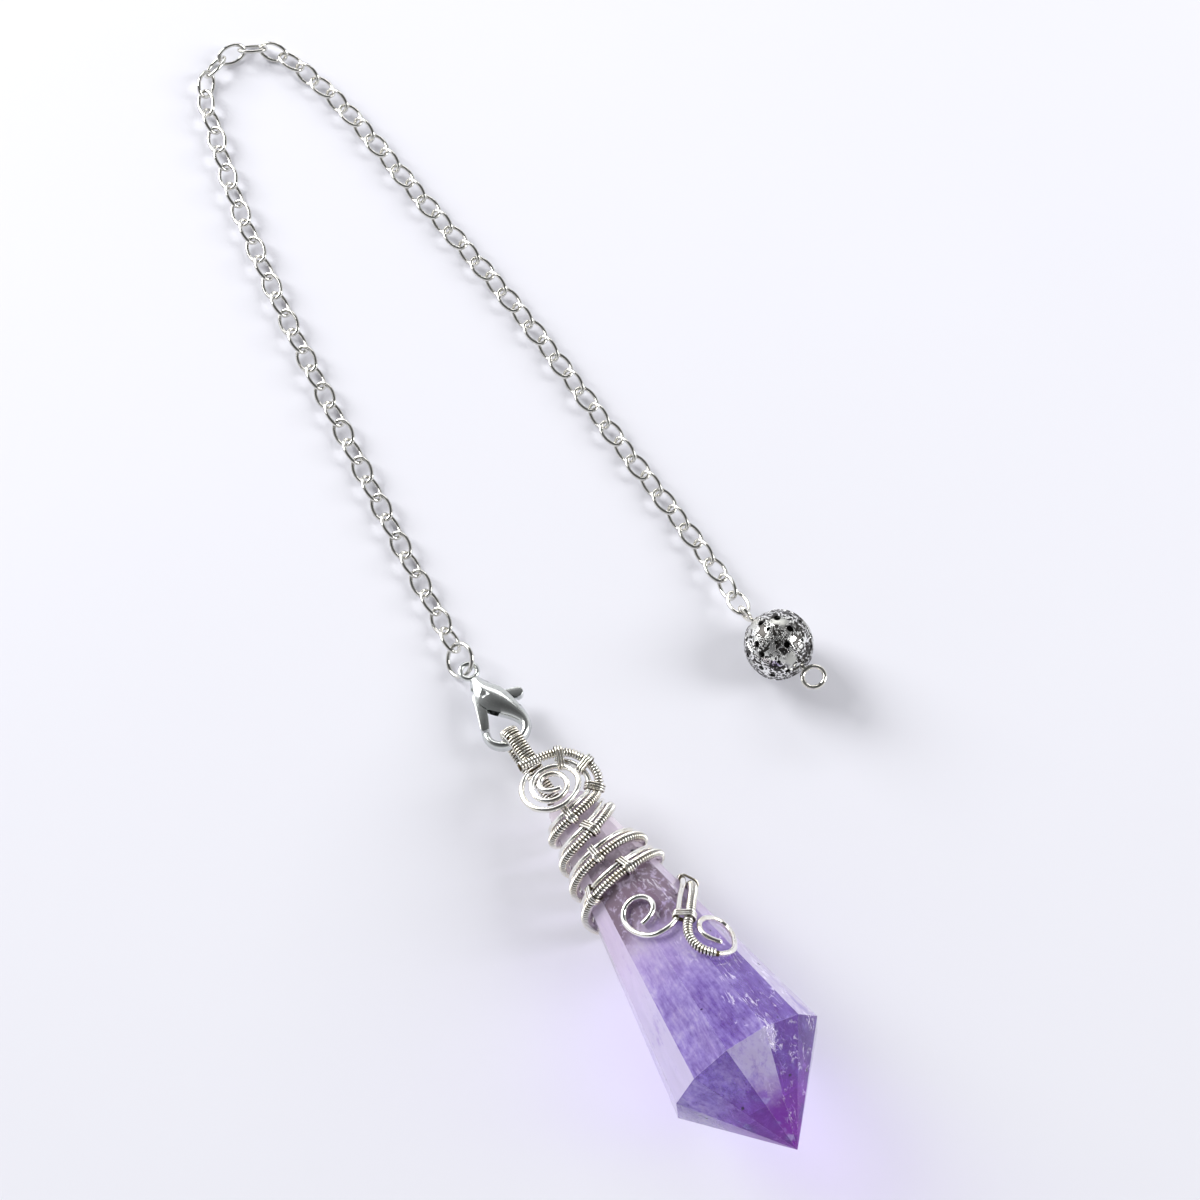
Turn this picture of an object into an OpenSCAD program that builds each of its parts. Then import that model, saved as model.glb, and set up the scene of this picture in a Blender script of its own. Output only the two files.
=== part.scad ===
// Pendulum pendant: a twelve-sided crystal point held by wire wraps, with a wound
// bail, a lever clasp, an oval-link chain and a pierced bead on an eye pin.
// It lies on a flat surface, Z up. All lengths are in millimetres.

/* [Stone] */
// Width of the crystal across its corners at the widest place
stone_d = 22.8; // [21:0.1:24]
// Width of the crystal across its corners at the bail end
stone_neck_d = 6.4; // [5.8:0.1:7]
// Length of the long tapering body
stone_body = 45; // [42:0.5:50]
// Length of the short point
stone_point = 13; // [10:0.5:16]
// Length of the blunt end under the wire
stone_end = 1.4; // [1:0.1:2]

/* [Wirework] */
// Thickness of the plain wire
wire_d = 0.8; // [0.7:0.05:0.9]
// Thickness of the coil-wound wire
coil_d = 1.4; // [1.2:0.05:1.5]
// Space between the plain and the wound wire of one strand
strand_gap = 0.3; // [0.2:0.05:0.4]
// Space between a wire and the stone's corners
lay_gap = 0.1; // [0.08:0.01:0.12]

/* [Rosette] */
// Outside diameter of the flat spiral
rosette_d = 9; // [8.8:0.1:9.4]
// Lean of the spiral towards the bail, degrees
rosette_lean = 14; // [12:1:16]

/* [Bail] */
// Outside length of the bail's loop
bail_l = 9.6; // [9.2:0.1:10.4]
// Outside height of the bail's loop
bail_h = 5.8; // [5.4:0.1:6.4]
// Width of the wound band
bail_w = 2.4; // [2:0.1:2.5]
// Thickness of the wound band
bail_t = 1.3; // [1.1:0.05:1.4]

/* [Clasp] */
// Distance from the eye's centre to the bottom of the hook
clasp_l = 13.2; // [12.8:0.1:14]
// Thickness of the clasp at its head
clasp_t = 2.8; // [2.6:0.1:3.2]
// Thickness of the hook's bar
hook_t = 1.5; // [1.3:0.05:1.6]
// Radius from the eye's centre to the middle of its rim
eye_r = 1.2; // [1.15:0.05:1.3]
// Thickness of the eye's rim
eye_t = 0.76; // [0.66:0.02:0.8]
// Thickness of the lever
lever_t = 1.2; // [1:0.05:1.3]
// Diameter of the lever's pivot pin
pivot_d = 0.8; // [0.7:0.05:0.9]

/* [Jump ring] */
// Diameter of the jump ring, middle of the wire to middle of the wire
ring_d = 4.75; // [4.6:0.05:5.2]
// Thickness of its wire
ring_t = 0.64; // [0.56:0.02:0.68]

/* [Chain] */
// Outside length of one link
link_l = 4.75; // [4.7:0.05:4.85]
// Outside width of one link
link_w = 3.2; // [3.15:0.05:3.3]
// Thickness of the link's wire
link_t = 0.58; // [0.54:0.02:0.6]

/* [Bead and eye pin] */
// Diameter of the bead
bead_d = 9.8; // [9.4:0.1:10.4]
// Thickness of the bead's shell
bead_wall = 0.5; // [0.45:0.05:0.7]
// Thickness of the pin's wire
pin_d = 0.7; // [0.66:0.02:0.74]
// Radius of the small loop that holds the chain
small_loop_r = 1.05; // [1:0.05:1.2]
// Radius of the large loop at the free end
large_loop_r = 1.56; // [1.4:0.02:1.8]

/* [Hidden] */
small = 0.01;

// Small clearances
run_gap = 0.07;       // pin in its bore
slip_gap = 0.12;      // lever in its slot
rest_gap = 0.02;      // lowest point above the surface
solder_gap = 0.15;    // pieces that meet without touching

// Stone
stone_sides = 12;
stone_r0 = stone_d / 2;
stone_r1 = stone_neck_d / 2;
corner = 180 / stone_sides;
end_share = 0.45;     // width left at the blunt end
crown_drop = 0.25;    // off-centre drop of the tip, as a share of a corner's width

// Columns of the wrap table: angle round the stone (0 is up, more is to the right, each
// turn takes 360 off), place on the body from the girdle as a share of its length.
// The front of each wrap runs from right to left and the back climbs to the next one.
wrap = [
  [58, 0.964], [22, 0.936], [-8, 0.922], [-39, 0.918], [-86, 0.924],
  [-135, 0.934], [-180, 0.942], [-235, 0.940], [-270, 0.928],
  [-294, 0.907], [-317, 0.884], [-343, 0.858], [-371, 0.838], [-400, 0.833], [-441, 0.836],
  [-500, 0.824], [-560, 0.800], [-615, 0.781], [-652, 0.773],
  [-683, 0.769], [-705, 0.764], [-728, 0.758], [-752, 0.754], [-781, 0.753], [-819, 0.750],
  [-870, 0.738], [-930, 0.719], [-980, 0.706], [-1008, 0.697],
  [-1045, 0.681], [-1066, 0.672], [-1088, 0.667], [-1111, 0.662], [-1138, 0.659],
  [-1179, 0.653], [-1215, 0.634], [-1260, 0.613], [-1305, 0.600]];
// The wound wire from the last wrap to the end of its winding
coil_tail = [[-1340, 0.584], [-1365, 0.556], [-1395, 0.492], [-1408, 0.453], [-1420, 0.416],
  [-1427, 0.384], [-1429, 0.348], [-1427, 0.311], [-1420, 0.279]];
// The bare core wire that leaves the winding and curls on the stone's right side
core_curl = [[-1412, 0.268], [-1403, 0.269], [-1395, 0.293], [-1384, 0.340], [-1381, 0.376],
  [-1388, 0.401], [-1399, 0.410], [-1408, 0.406], [-1413.5, 0.388], [-1416, 0.364],
  [-1413.5, 0.336], [-1407, 0.310]];
// The plain wire from the last wrap to the end of its curl on the stone's top
plain_tail = [[-1340, 0.617], [-1372, 0.580], [-1402, 0.521], [-1416, 0.478], [-1423, 0.452],
  [-1431, 0.434], [-1441, 0.428], [-1452, 0.433], [-1461, 0.457], [-1468, 0.494],
  [-1470, 0.532], [-1465, 0.560], [-1456, 0.573], [-1446, 0.573], [-1437, 0.556],
  [-1435, 0.527], [-1439, 0.505], [-1446, 0.492], [-1455, 0.487]];
// Columns of the arch tables: angle round the rosette (0 is towards the bail), distance
// from its centre as a share of its radius, height as a share of the stone's neck radius.
coil_arch = [[-22, 1.30, 1.09], [2, 1.15, 1.09], [27, 1.20, 1.08], [46, 1.34, 1.05],
  [60, 1.46, 0.98], [79, 1.56, 0.92], [93, 1.62, 0.88], [109, 1.66, 0.80]];
plain_arch = [[40, 1.075, 0.79], [51, 1.12, 0.82], [66, 1.19, 0.86],
  [83, 1.24, 0.875], [99, 1.31, 0.86], [116, 1.29, 0.86]];
plain_start = [42, 0.946];            // where the plain wire comes down from its arch
coil_lift = coil_d / 2 + lay_gap;
bare_lift = wire_d / 2 + lay_gap;
plain_lift = wire_d / 2 + 2 * lay_gap;
strand_pitch = (coil_d + wire_d) / 2 + strand_gap;
wire_sides = 8;
plain_sides = 6;
wrap_steps = 3;
curl_steps = 3;

// Rosette
rosette_share = 1.049;                // its centre's place along the stone's body
rosette_y = -0.14 * rosette_d;        // its centre lies a little to the left
rosette_r = (rosette_d - wire_d) / 2;
rosette_steps = 3;
// Columns: angle round the spiral (0 is towards the point) and distance from its centre as
// a share of its radius. An outer turn, an inner turn, and an end that crosses the middle.
rosette_coil = [[202, 1], [234, 0.99], [283, 1], [324, 0.99], [357, 0.95], [393, 0.94],
  [429, 0.98], [449, 0.97], [475, 0.90], [500, 0.83], [525, 0.77], [560, 0.71], [597, 0.65],
  [655, 0.62], [692, 0.63], [742, 0.61], [784, 0.59], [826, 0.57], [864, 0.54], [902, 0.50],
  [935, 0.44], [972, 0.35], [1025, 0.22], [1090, 0.23], [1120, 0.36]];

// Bail: its loop stands on edge and its shank runs to the stone's blunt end
bail_mid = 3.65;                      // shank from the stone's end to the loop
bail_y = -1.2;
bail_z = -0.3;

// Hook and lever shapes in the clasp's own plane: u from the eye to the hook's bottom
// and v to the right, as shares of clasp_l, and half widths as shares of hook_t. The
// claw starts inside the eye's rim.
claw_from = (eye_r + 0.42 * eye_t) / clasp_l;
claw = [[claw_from, 0.015, 0.45, 0.30], [0.175, 0.018, 0.72, 0.36], [0.255, 0.030, 1.10, 0.44],
  [0.365, 0.062, 1.48, 0.50], [0.470, 0.128, 1.46, 0.50], [0.575, 0.200, 1.16, 0.47],
  [0.680, 0.256, 0.84, 0.43], [0.785, 0.290, 0.60, 0.39], [0.882, 0.276, 0.50, 0.36],
  [0.960, 0.204, 0.47, 0.345], [0.992, 0.090, 0.48, 0.335], [0.976, -0.036, 0.46, 0.33],
  [0.908, -0.122, 0.42, 0.32], [0.830, -0.144, 0.41, 0.30], [0.770, -0.138, 0.40, 0.28]];
pivot_at = [0.352, 0.020];
slot_from = 0.222;
slot_to = 0.625;
lever_outline = [[0.300, -0.078], [0.352, -0.108], [0.410, -0.112], [0.540, -0.137],
  [0.690, -0.168], [0.726, -0.168], [0.741, -0.150], [0.741, -0.098], [0.726, -0.080],
  [0.600, -0.036], [0.520, -0.016], [0.455, 0.030], [0.452, 0.110], [0.478, 0.220],
  [0.498, 0.300], [0.530, 0.345], [0.522, 0.392], [0.488, 0.420], [0.446, 0.418],
  [0.414, 0.384], [0.398, 0.320], [0.376, 0.200], [0.330, 0.105], [0.285, 0.040]];
claw_sides = 12;
claw_steps = 3;
rivet_share = 0.86;                   // the rivet's length as a share of clasp_t
clasp_heading = -65;
hook_at = [-11.9, -23.1];             // where the bail hangs in the hook, seen from above
hook_mid = [0.988, 0.092];            // the same place in the clasp's plane, as shares

// Jump ring
ring_r = ring_d / 2;
ring_tilt = 46;
ring_heading = -68;
ring_turn = 18;                       // where on the ring the clasp's eye hangs

// Chain links: an oval of two end arcs and two side arcs
link_cross = 60;      // each link leans this much against the one before it
link_spread = 0.7;    // they lean further apart where the chain bends
link_slack = 0.3;
chain_steps = 8;
bend_reach = 1.5;     // the bend is read over this many links to each side
end_arc = 60;
side_thin = 0.02;     // the wire is a little thinner along a link's sides
arc_lap = 2;          // side arcs run this far into the end arcs, degrees
link_a = (link_l - link_t) / 2;
link_b = (link_w - link_t) / 2;
arc_k = (sin(end_arc) - 1) / cos(end_arc);
link_r1 = (arc_k * link_a + link_b) / (1 + arc_k);
link_r2 = link_r1 + (link_a - link_r1) / cos(end_arc);
// Points that the chain passes over, chosen by hand. Columns: x, y, height above its
// rest on the surface, lean of every second link
chain_over = [[-22.6, -3.8, 0.15, 38], [-25.2, 1.3, 0, 38], [-29.6, 10, 0, 38],
  [-38.2, 27.6, 0, 38], [-46.8, 45.6, 0, 38], [-54.2, 63.2, 0, 40], [-58.7, 77.4, 0, 42],
  [-60, 82.8, 0, 43], [-58.5, 87.4, 0, 45], [-54.7, 90, 0, 46], [-50.4, 89.9, 0, 48],
  [-46.3, 87.3, 0, 49], [-38.3, 79.3, 0, 50], [-25.9, 63.2, 0, 52], [-11.7, 45, 0, 52],
  [2.9, 23.9, 0, 52], [11.8, 11.2, 0.12, 52], [16.8, 3.3, 0.85, 52]];

// Bead and pin
bead_at = [25.1, -8.8];
pin_heading = -47.5;
pin_rise = 7;                         // the free end stands a little higher
bead_r = bead_d / 2;
bore_r = pin_d / 2 + run_gap;
small_neck = 0.55;
large_neck = 0.25;
small_roll = 90;
large_roll = 8;
rib_count = 6;
rib_r = 0.2;
rib_stand = 0.11;
rib_end = 12;                         // the ribs stop this short of the poles, degrees
// Rows of pierced holes: angle from the pin, number round, radius as a share of the bead's
pierced = [[32, 6, 0.062], [55, 9, 0.078], [78, 12, 0.088], [103, 12, 0.082],
  [127, 9, 0.075], [150, 6, 0.058]];
hole_wander = 5;                      // unevenness of the holes' places, degrees
hole_change = 0.3;                    // unevenness of their size, as a share
hole_swing = 67;

// Vectors, paths and tubes

function unit(v) = v / norm(v);
function last(v) = v[len(v) - 1];
function spot(v) = [v.x, v.y, v.z];
function drop_first(v) = [for (i = [1:len(v) - 1]) v[i]];

function spline(a, b, c, d, t) =
  (2 * b + (c - a) * t + (2 * a - 5 * b + 4 * c - d) * t * t
   + (3 * b - a - 3 * c + d) * t * t * t) / 2;

// A smooth curve through the points, with the given steps in each span
function smooth(p, steps) = concat(
  [for (i = [0:len(p) - 2]) for (k = [0:steps - 1])
    spline(i == 0 ? 2 * p[0] - p[1] : p[i - 1], p[i], p[i + 1],
      i == len(p) - 2 ? 2 * last(p) - p[i] : p[i + 2], k / steps)],
  [last(p)]);

function tangents(p) =
  [for (i = [0:len(p) - 1]) unit(p[min(i + 1, len(p) - 1)] - p[max(i - 1, 0)])];

function across(n, t) = unit(n - t * (n * t));

function side_of(t) = abs(t.z) < 0.8 ? across([0, 0, 1], t) : across([1, 0, 0], t);

// Normals carried along the path without twisting
function normals(t) =
  [for (i = 0, n = side_of(t[0]); i < len(t); i = i + 1, n = i < len(t) ? across(n, t[i]) : n) n];

function ring_faces(rings, sides) = concat(
  [[for (k = [0:sides - 1]) k]],
  [for (i = [0:rings - 2]) for (k = [0:sides - 1])
    [i * sides + k, (i + 1) * sides + k,
     (i + 1) * sides + (k + 1) % sides, i * sides + (k + 1) % sides]],
  [[for (k = [0:sides - 1]) rings * sides - 1 - k]]);

module tube(path, radii, sides) {
  t = tangents(path);
  n = normals(t);
  points = [for (i = [0:len(path) - 1]) for (k = [0:sides - 1])
    path[i] + radii[i] * (cos(360 * k / sides) * n[i] + sin(360 * k / sides) * cross(t[i], n[i]))];
  polyhedron(points, ring_faces(len(path), sides), convexity = 8);
}

function same(p, value) = [for (i = [0:len(p) - 1]) value];

// The stone's own frame: x towards the point, y to the right, z up, girdle at zero

function stone_r(s) = stone_r0 + (stone_r1 - stone_r0) * s / stone_body;
function on_stone(angle, share, lift) =
  let (s = share * stone_body, r = stone_r(s) + lift)
  [-s, r * sin(angle), r * cos(angle)];
function laid(table, lift, shift) =
  [for (q = table) on_stone(q[0], q[1] + shift, lift)];

rosette_s = rosette_share * stone_body;
rosette_edge_s = rosette_s - rosette_r * cos(rosette_lean);
rosette_edge_z = stone_r(rosette_edge_s) + plain_lift + wire_d + lay_gap;
rosette_z = rosette_edge_z - rosette_r * sin(rosette_lean);

function round_rosette(table) =
  [for (q = table) [
    -(rosette_s + q[1] * rosette_r * cos(q[0])),
    rosette_y + q[1] * rosette_r * sin(q[0]),
    q[2] * stone_r1 + (coil_d - wire_d) / 4]];

// Resting: the girdle's lowest edge and the lowest wrap share the surface
wrap_reach = [for (q = wrap) if (cos(q[0]) < -0.7)
  [q[1] * stone_body, stone_r(q[1] * stone_body) + coil_lift + coil_d / 2]];
girdle_low = stone_r0 * cos(corner);
stone_pitch = min([for (w = wrap_reach) atan((girdle_low - w[1]) / w[0])]);
girdle_z = girdle_low * cos(stone_pitch) + rest_gap;
stone_heading = -57.9;

bail_near = stone_body + stone_end + solder_gap + bail_mid;
hook_s = bail_near + bail_l - bail_t - hook_t / 2 - 2 * solder_gap;

function turn_z(v, a) = [v.x * cos(a) - v.y * sin(a), v.x * sin(a) + v.y * cos(a), v.z];
function turn_y(v, a) = [v.x * cos(a) + v.z * sin(a), v.y, v.z * cos(a) - v.x * sin(a)];
function from_stone(v) = turn_z(turn_y(v, -stone_pitch), stone_heading);
hook_in_stone = from_stone([-hook_s, bail_y, bail_z]);
girdle_at = [hook_at.x - hook_in_stone.x, hook_at.y - hook_in_stone.y, girdle_z];
hook_z = girdle_z + hook_in_stone.z;
tip_y = -crown_drop * stone_r0 * sin(corner);
tip_at = girdle_at + from_stone([stone_point, tip_y, 0]);

// Jump ring and clasp, from the hook back to the chain
ring_z = ring_r * sin(ring_tilt) + ring_t / 2 + rest_gap;
ring_along = [cos(ring_heading), sin(ring_heading), 0];
ring_over = turn_z([0, cos(ring_tilt), sin(ring_tilt)], ring_heading);
eye_z = ring_z + ring_r * sin(ring_turn) * ring_over.z;
clasp_pitch = asin((hook_z - eye_z) / (hook_mid.x * clasp_l));
hook_flat = [hook_mid.x, hook_mid.y, 0] * clasp_l;
hook_from_eye = turn_z(turn_y(hook_flat, -clasp_pitch), clasp_heading);
eye_at = [hook_at.x, hook_at.y, hook_z] - hook_from_eye;
ring_at = eye_at - ring_r * (cos(ring_turn) * ring_along + sin(ring_turn) * ring_over);

// Bead and pin
pin_axis = turn_z(turn_y([1, 0, 0], -pin_rise), pin_heading);
bead_mid = [bead_at.x, bead_at.y, bead_r + rib_stand + rest_gap];
small_far = bead_r + small_neck + pin_d / 2 + small_loop_r;
large_far = bead_r + large_neck + pin_d / 2 + large_loop_r;
small_loop_at = bead_mid - small_far * pin_axis;
large_loop_at = bead_mid + large_far * pin_axis;

// The chain's route, from the jump ring round to the small loop, with the links' lean
route = smooth(concat([concat(ring_at, chain_over[0][3])],
  [for (q = chain_over) [q[0], q[1], link_b * sin(q[3]) + link_t / 2 + rest_gap + q[2], q[3]]],
  [concat(small_loop_at, last(chain_over)[3])]), chain_steps);
route_run = [for (i = 0, s = 0; i < len(route); i = i + 1,
  s = s + (i < len(route) ? norm(spot(route[i]) - spot(route[i - 1])) : 0)) s];
route_column = [for (c = [0:3]) [for (i = [0:len(route) - 1]) [route_run[i], route[i][c]]]];
function route_at(s) = [for (c = [0:2]) lookup(s, route_column[c])];
function lean_at(s) = lookup(s, route_column[3]);
function heading(from, to) = unit(route_at(to) - route_at(from));
function bend_at(s) =
  let (reach = bend_reach * link_step)
  acos(min(1, heading(s - reach, s) * heading(s, s + reach)));
first_link = ring_r + link_a - (ring_t + link_t) / 2 - link_slack;
last_link = last(route_run) - small_loop_r - link_a + (pin_d + link_t) / 2 + link_slack;
link_pitch = 2 * link_a - link_t - link_slack;
link_count = round((last_link - first_link) / link_pitch) + 1;
link_step = (last_link - first_link) / (link_count - 1);

// The origin: middle of the whole outline, on the surface
left_x = min([for (p = route) p.x]) - link_b;
right_x = max(large_loop_at.x + large_loop_r + pin_d / 2,
  girdle_at.x + stone_r0 * abs(sin(stone_heading)));
top_y = max([for (p = route) p.y]) + link_b;
mid = [(left_x + right_x) / 2, (top_y + tip_at.y) / 2, 0];

module lay() { translate(-mid) children(); }
module on_pendant() {
  lay() translate(girdle_at) rotate([0, 0, stone_heading]) rotate([0, -stone_pitch, 0]) children();
}
module on_clasp() {
  lay() translate(eye_at) rotate([0, 0, clasp_heading]) rotate([0, -clasp_pitch, 0]) children();
}
module on_pin() {
  lay() translate(bead_mid) rotate([0, 0, pin_heading]) rotate([0, -pin_rise, 0]) children();
}

// The faceted crystal: a ring of corners at each change of taper, and the tip
module stone() {
  rings = [[stone_point, small], [0, stone_r0], [-stone_body, stone_r1],
    [-stone_body - stone_end, stone_r1 * end_share]];
  points = [for (i = [0:len(rings) - 1]) for (k = [0:stone_sides - 1])
    let (a = corner + 360 * k / stone_sides)
    [rings[i][0], rings[i][1] * sin(a) + (i == 0 ? tip_y : 0), rings[i][1] * cos(a)]];
  color("mediumpurple", 0.7) on_pendant()
    polyhedron(points, ring_faces(len(rings), stone_sides), convexity = 2);
}

// Outline of a slot with round ends, lying along x
module round_slot(length, height) {
  square([length - height, height], center = true);
  for (side = [-1, 1]) translate([side * (length - height) / 2, 0]) circle(d = height, $fn = 64);
}

// A band wound round a core, bent into a loop on edge, with its shank
module bail() {
  color("gainsboro") on_pendant() translate([-bail_near, bail_y, bail_z]) {
    translate([-bail_l / 2, 0, 0]) rotate([90, 0, 0])
      linear_extrude(bail_w, center = true) difference() {
        round_slot(bail_l, bail_h);
        round_slot(bail_l - 2 * bail_t, bail_h - 2 * bail_t);
      }
    translate([-bail_t / 2, -bail_w / 2, -bail_t / 2]) cube([bail_mid + bail_t / 2, bail_w, bail_t]);
  }
}

// The coil-wound wire: over the bail, round the arch, down the wraps and into the curl
module coil_strand() {
  arch = smooth(concat(round_rosette(coil_arch), [laid(wrap, coil_lift, 0)[0]]), wrap_steps);
  wraps = laid(smooth(concat(wrap, coil_tail), wrap_steps), coil_lift, 0);
  curl = laid(smooth(concat([last(coil_tail)], core_curl), curl_steps), bare_lift, 0);
  wound = concat(arch, drop_first(wraps));
  bare = drop_first(curl);
  color("lightgray") on_pendant()
    tube(concat(wound, bare), concat(same(wound, coil_d / 2), same(bare, wire_d / 2)), wire_sides);
}

// The plain wire beside it, on the bail's side of each wrap
module plain_strand() {
  shift = strand_pitch / stone_body;
  landing = on_stone(plain_start[0], plain_start[1] + shift, plain_lift);
  beside = [for (q = drop_first(wrap)) [q[0], q[1] + shift]];
  arch = smooth(concat(round_rosette(plain_arch), [landing]), wrap_steps);
  wraps = laid(smooth(concat(beside, plain_tail), wrap_steps), plain_lift, 0);
  path = concat(arch, wraps);
  color("silver") on_pendant() tube(path, same(path, wire_d / 2), plain_sides);
}

// A flat spiral of plain wire whose inner end crosses its middle
module rosette() {
  turns = smooth(rosette_coil, rosette_steps);
  path = [for (q = turns) rosette_r * q[1] * [cos(q[0]), sin(q[0]), 0]];
  color("silver") on_pendant() translate([-rosette_s, rosette_y, rosette_z])
    rotate([0, -rosette_lean, 0]) tube(path, same(path, wire_d / 2), plain_sides);
}

// The clasp's eye, head and hook, slotted for the lever
module clasp_body() {
  path = smooth([for (q = claw) [q[0], q[1]] * clasp_l], claw_steps);
  sizes = smooth([for (q = claw) [q[2] * hook_t, q[3] * clasp_t]], claw_steps);
  flat = [for (p = path) [p.x, p.y, 0]];
  t = tangents(flat);
  points = [for (i = [0:len(flat) - 1]) for (k = [0:claw_sides - 1])
    let (a = 360 * k / claw_sides)
    flat[i] + sizes[i].x * cos(a) * cross([0, 0, 1], t[i]) + [0, 0, sizes[i].y * sin(a)]];
  color("lightslategray") on_clasp() difference() {
    union() {
      rotate_extrude($fn = 64) translate([eye_r, 0]) circle(d = eye_t, $fn = 32);
      polyhedron(points, ring_faces(len(flat), claw_sides), convexity = 6);
    }
    translate([slot_from * clasp_l, -clasp_l / 2, -lever_t / 2 - slip_gap])
      cube([(slot_to - slot_from) * clasp_l, clasp_l, lever_t + 2 * slip_gap]);
    translate([pivot_at.x, pivot_at.y] * clasp_l)
      cylinder(d = pivot_d + rest_gap, h = 2 * clasp_t, center = true, $fn = 32);
  }
}

// The rivet that the lever turns on
module clasp_pin() {
  color("gray") on_clasp() translate([pivot_at.x, pivot_at.y] * clasp_l)
    cylinder(d = pivot_d, h = rivet_share * clasp_t, center = true, $fn = 32);
}

// The lever: gate on the left, thumb tab on the right, hub on the rivet
module clasp_lever() {
  color("slategray") on_clasp() difference() {
    translate([0, 0, -lever_t / 2]) linear_extrude(lever_t)
      polygon([for (q = smooth(concat(lever_outline, [lever_outline[0]]), 2)) q * clasp_l]);
    translate([pivot_at.x, pivot_at.y] * clasp_l)
      cylinder(r = pivot_d / 2 + run_gap, h = 2 * clasp_t, center = true, $fn = 32);
  }
}

module jump_ring() {
  color("silver") lay() translate(ring_at) rotate([0, 0, ring_heading]) rotate([ring_tilt, 0, 0])
    rotate_extrude($fn = 96) translate([ring_r, 0]) circle(d = ring_t, $fn = 32);
}

// One oval link: four arcs of round wire
module link() {
  for (side = [-1, 1]) {
    translate([side * (link_a - link_r1), 0, 0]) rotate([0, 0, side > 0 ? -end_arc : 180 - end_arc])
      rotate_extrude(angle = 2 * end_arc, $fn = 72) translate([link_r1, 0]) circle(d = link_t, $fn = 24);
    translate([0, -side * (link_r2 - link_b), 0])
      rotate([0, 0, (side > 0 ? end_arc : 180 + end_arc) - arc_lap])
      rotate_extrude(angle = 180 - 2 * end_arc + 2 * arc_lap, $fn = 144)
      translate([link_r2, 0]) circle(d = link_t - side_thin, $fn = 24);
  }
}

module chain() {
  color("silver") lay() for (i = [0:link_count - 1]) {
    s = first_link + i * link_step;
    ahead = heading(s - link_a / 2, s + link_a / 2);
    lean = i % 2 == 0 ? lean_at(s) : lean_at(s) - link_cross - link_spread * bend_at(s);
    translate(route_at(s)) rotate([0, -asin(ahead.z), atan2(ahead.y, ahead.x)])
      rotate([lean, 0, 0]) link();
  }
}

// A hollow bead with raised ribs from pole to pole, pierced all over
module bead() {
  color("darkgray") on_pin() difference() {
    union() {
      rotate([0, 90, 0]) sphere(r = bead_r, $fn = 96);
      for (k = [0:rib_count - 1]) rotate([(k + 0.5) * 360 / rib_count, 0, 0])
          rotate([0, 0, rib_end]) rotate_extrude(angle = 180 - 2 * rib_end, $fn = 96)
        translate([bead_r - rib_r + rib_stand, 0]) circle(r = rib_r, $fn = 24);
    }
    rotate([0, 90, 0]) sphere(r = bead_r - bead_wall, $fn = 96);
    rotate([0, 90, 0]) cylinder(r = bore_r, h = 3 * bead_r, center = true, $fn = 32);
    for (row = pierced) for (k = [0:row[1] - 1]) {
      turn = 360 * (k + 0.5) / row[1] + hole_wander * sin(hole_swing * (k + row[0]));
      lean = row[0] + hole_wander * cos(hole_swing * (2 * k + row[0]));
      hole_r = row[2] * bead_r * (1 + hole_change * sin(hole_swing * (3 * k + 1)));
      rotate([turn, 0, 0]) rotate([0, 0, lean]) rotate([0, 90, 0]) translate([0, 0, bead_r / 2])
        cylinder(r = hole_r, h = bead_r, $fn = 24);
    }
  }
}

// The eye pin: a straight wire through the bead with a loop at each end
module eye_pin() {
  color("silver") on_pin() {
    translate([-small_far + small_loop_r, 0, 0]) rotate([0, 90, 0])
      cylinder(d = pin_d, h = small_far + large_far - small_loop_r - large_loop_r, $fn = 32);
    translate([-small_far, 0, 0]) rotate([small_roll, 0, 0])
      rotate_extrude($fn = 64) translate([small_loop_r, 0]) circle(d = pin_d, $fn = 32);
    translate([large_far, 0, 0]) rotate([large_roll, 0, 0])
      rotate_extrude($fn = 64) translate([large_loop_r, 0]) circle(d = pin_d, $fn = 32);
  }
}

stone();
bail();
coil_strand();
plain_strand();
rosette();
clasp_body();
clasp_pin();
clasp_lever();
jump_ring();
chain();
bead();
eye_pin();
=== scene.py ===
# %% [markdown]
# A crystal pendulum pendant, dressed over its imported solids.
# The real object is a faceted quartz point held by wire wraps, hung from a lever clasp
# and an oval-link chain that ends in a pierced bead. It could be dressed by painting the
# plain solids alone. Here the wires are wound again in fine wire, because the windings
# are what a stranger sees first, and the stone becomes glass that light passes through.

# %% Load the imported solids
import math

import bmesh
import bpy
import numpy as np
from mathutils import Matrix, Vector


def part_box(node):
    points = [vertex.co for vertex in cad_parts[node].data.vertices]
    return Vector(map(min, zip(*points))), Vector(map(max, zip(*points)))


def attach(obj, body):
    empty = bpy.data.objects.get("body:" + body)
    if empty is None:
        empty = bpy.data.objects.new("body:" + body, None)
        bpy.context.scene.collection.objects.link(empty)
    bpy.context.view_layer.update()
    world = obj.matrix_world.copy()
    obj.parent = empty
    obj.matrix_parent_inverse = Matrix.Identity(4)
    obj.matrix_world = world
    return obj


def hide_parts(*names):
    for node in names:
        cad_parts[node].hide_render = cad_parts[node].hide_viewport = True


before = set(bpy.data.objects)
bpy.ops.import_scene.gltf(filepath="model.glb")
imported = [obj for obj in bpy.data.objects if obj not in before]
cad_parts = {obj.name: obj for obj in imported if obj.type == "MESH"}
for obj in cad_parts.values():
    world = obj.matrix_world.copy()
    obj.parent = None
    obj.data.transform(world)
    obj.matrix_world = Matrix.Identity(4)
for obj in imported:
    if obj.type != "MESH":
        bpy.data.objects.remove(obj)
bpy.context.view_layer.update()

MM = 0.001
BODY = "pendulum"
scene = bpy.context.scene
print("solids:", ", ".join(sorted(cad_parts)))

# %% [markdown]
# The camera looks down on the resting pendant, as a maker photographs it on a table.
# A long lens from half a metre keeps the chain's links the same size from end to end.
# It could be framed by eye, but a measured tilt and distance put each piece in its place.

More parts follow.
